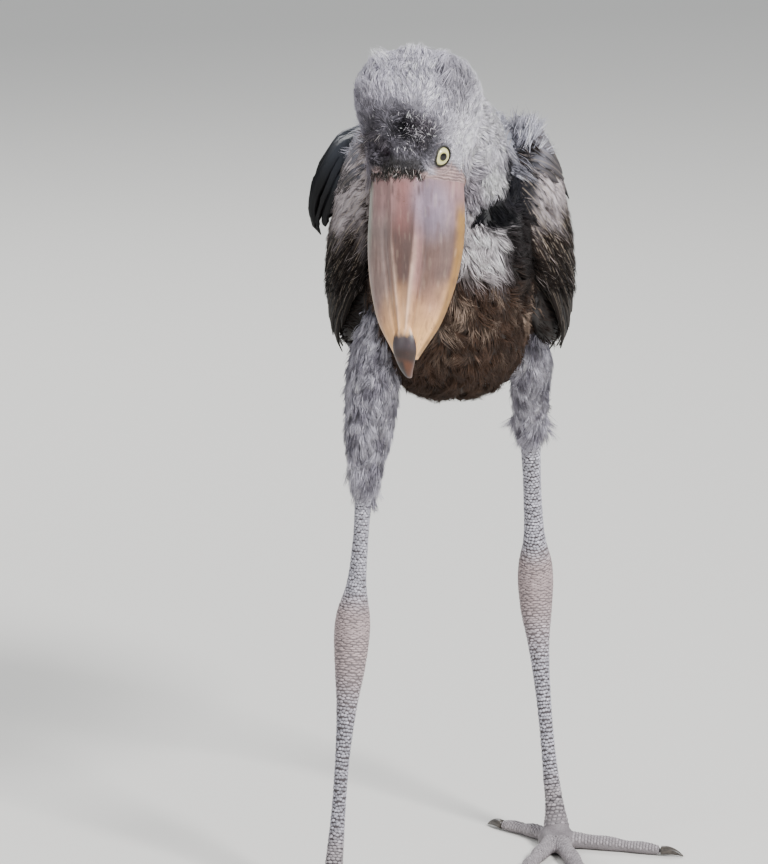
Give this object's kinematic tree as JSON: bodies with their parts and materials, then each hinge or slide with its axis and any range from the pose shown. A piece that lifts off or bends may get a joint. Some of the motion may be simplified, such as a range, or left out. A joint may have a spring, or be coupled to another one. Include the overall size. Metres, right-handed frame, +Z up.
{
  "type": "shoebill",
  "caption": "young downy wading bird standing still with its heavy hooked bill held down, one foot a step ahead, wings folded",
  "frame": {"origin": "on the floor, under the middle of the bird's bounding box", "axes": "+Z up and the longest extent, the bird faces -Y, +X to the bird's left"},
  "size_m": [0.4142, 0.6024, 0.7663],
  "materials": {
    "pale_down": "soft grey down",
    "body_down": "soft brown-grey down",
    "wing_feather": "dark brown-grey feathers with pale edges",
    "tail_feather": "slate grey feathers",
    "bill_horn": "satin horn, pink-grey passing to tan",
    "eye": "wet, pale yellow with a dark pupil",
    "leg_skin": "finely scaled grey skin",
    "claw_horn": "dark horn"
  },
  "bodies": {
    "root": {"claw_left_hind": "claw_horn", "claw_left_inner": "claw_horn", "claw_left_middle": "claw_horn", "claw_left_outer": "claw_horn", "claw_right_hind": "claw_horn", "claw_right_inner": "claw_horn", "claw_right_middle": "claw_horn", "claw_right_outer": "claw_horn", "eye_left": "eye", "eye_right": "eye", "foot_left": "leg_skin", "foot_right": "leg_skin", "head": "pale_down", "lower_bill": "bill_horn", "neck": "pale_down", "shin_left": "leg_skin", "shin_right": "leg_skin", "tail": "tail_feather", "tarsus_left": "leg_skin", "tarsus_right": "leg_skin", "thigh_left": "pale_down", "thigh_right": "pale_down", "toe_left_hind": "leg_skin", "toe_left_inner": "leg_skin", "toe_left_middle": "leg_skin", "toe_left_outer": "leg_skin", "toe_right_hind": "leg_skin", "toe_right_inner": "leg_skin", "toe_right_middle": "leg_skin", "toe_right_outer": "leg_skin", "torso": "body_down", "upper_bill": "bill_horn", "wing_left": "wing_feather", "wing_right": "wing_feather"}
  },
  "joints": []
}
